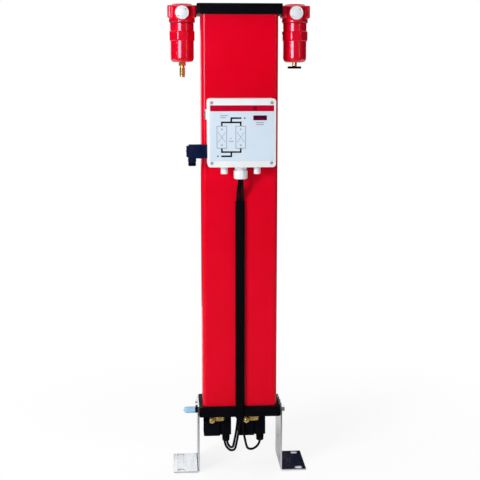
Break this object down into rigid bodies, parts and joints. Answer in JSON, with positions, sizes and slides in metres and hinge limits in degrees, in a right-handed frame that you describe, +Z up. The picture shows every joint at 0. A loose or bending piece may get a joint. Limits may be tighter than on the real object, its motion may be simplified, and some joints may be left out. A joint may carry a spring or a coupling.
{
  "type": "desiccant air dryer",
  "caption": "Desiccant compressed-air dryer: slim red column on leg brackets, filters beside its top plate, white controller box in front, exhaust valves below.",
  "frame": {"origin": "centre of the foot slot pattern, on the floor", "axes": "+Z up along the column, +X to the right seen from the controller's side, the controller faces -Y"},
  "size_m": [0.279, 0.1538, 0.938],
  "materials": {
    "red_enamel": "glossy red stove enamel on aluminium",
    "black_coating": "satin black coating on aluminium",
    "zinc_sheet": "bright zinc-plated sheet",
    "steel": "plain steel",
    "brass": "turned brass",
    "desiccant": "matt beads",
    "black_rubber": "matt black",
    "filter_media": "pleated media",
    "white_disc": "smooth white",
    "pale_blue_plastic": "porous pale blue",
    "dark_window": "dark tinted window",
    "board": "coated circuit board",
    "white_plastic": "satin white moulding",
    "black_plastic": "satin black moulding"
  },
  "bodies": {
    "dryer": {"column": "red_enamel", "top_plate": "black_coating", "bottom_plate": "black_coating", "top_gasket": "black_rubber", "bottom_gasket": "black_rubber", "plate_screws": "steel", "bed_left": "desiccant", "bed_right": "desiccant", "lower_screen_left": "steel", "lower_screen_right": "steel", "upper_screen_left": "steel", "upper_screen_right": "steel", "bed_spring_left": "steel", "bed_spring_right": "steel", "leg_left": "zinc_sheet", "leg_right": "zinc_sheet", "leg_screws": "steel", "port_plug": "steel", "silencer_nipple": "steel", "silencer": "pale_blue_plastic", "prefilter_nipple": "steel", "prefilter_head": "red_enamel", "prefilter_seal": "black_rubber", "prefilter_element": "filter_media", "prefilter_bowl": "red_enamel", "prefilter_disc": "white_disc", "prefilter_drain": "brass", "afterfilter_nipple": "steel", "afterfilter_head": "red_enamel", "afterfilter_seal": "black_rubber", "afterfilter_element": "filter_media", "afterfilter_bowl": "red_enamel", "afterfilter_disc": "white_disc", "afterfilter_drain": "brass", "box_rail": "zinc_sheet", "rail_screws": "steel", "box_base": "white_plastic", "box_seal": "black_rubber", "box_cover": "white_plastic", "cover_screws": "steel", "display_window": "dark_window", "controller_board": "board", "main_gland": "white_plastic", "main_gland_nut": "white_plastic", "left_gland": "white_plastic", "right_gland": "white_plastic", "mains_socket": "black_plastic", "mains_plug": "black_plastic", "mains_plug_nut": "black_plastic", "cable_sleeve": "black_rubber", "valve_body_left": "brass", "valve_coil_left": "black_plastic", "valve_plug_left": "black_plastic", "valve_body_right": "brass", "valve_coil_right": "black_plastic", "valve_plug_right": "black_plastic", "lead_left_inner": "black_rubber", "lead_left_outer": "black_rubber", "lead_right": "black_rubber"},
    "wing": {"drain_wing": "black_plastic"}
  },
  "joints": [
    {"name": "drain_turn", "type": "hinge", "parent": "dryer", "child": "wing", "pos_m": [0.111, 0, 0.816], "axis": [0, 0, 1], "range_deg": [0, 90]}
  ]
}
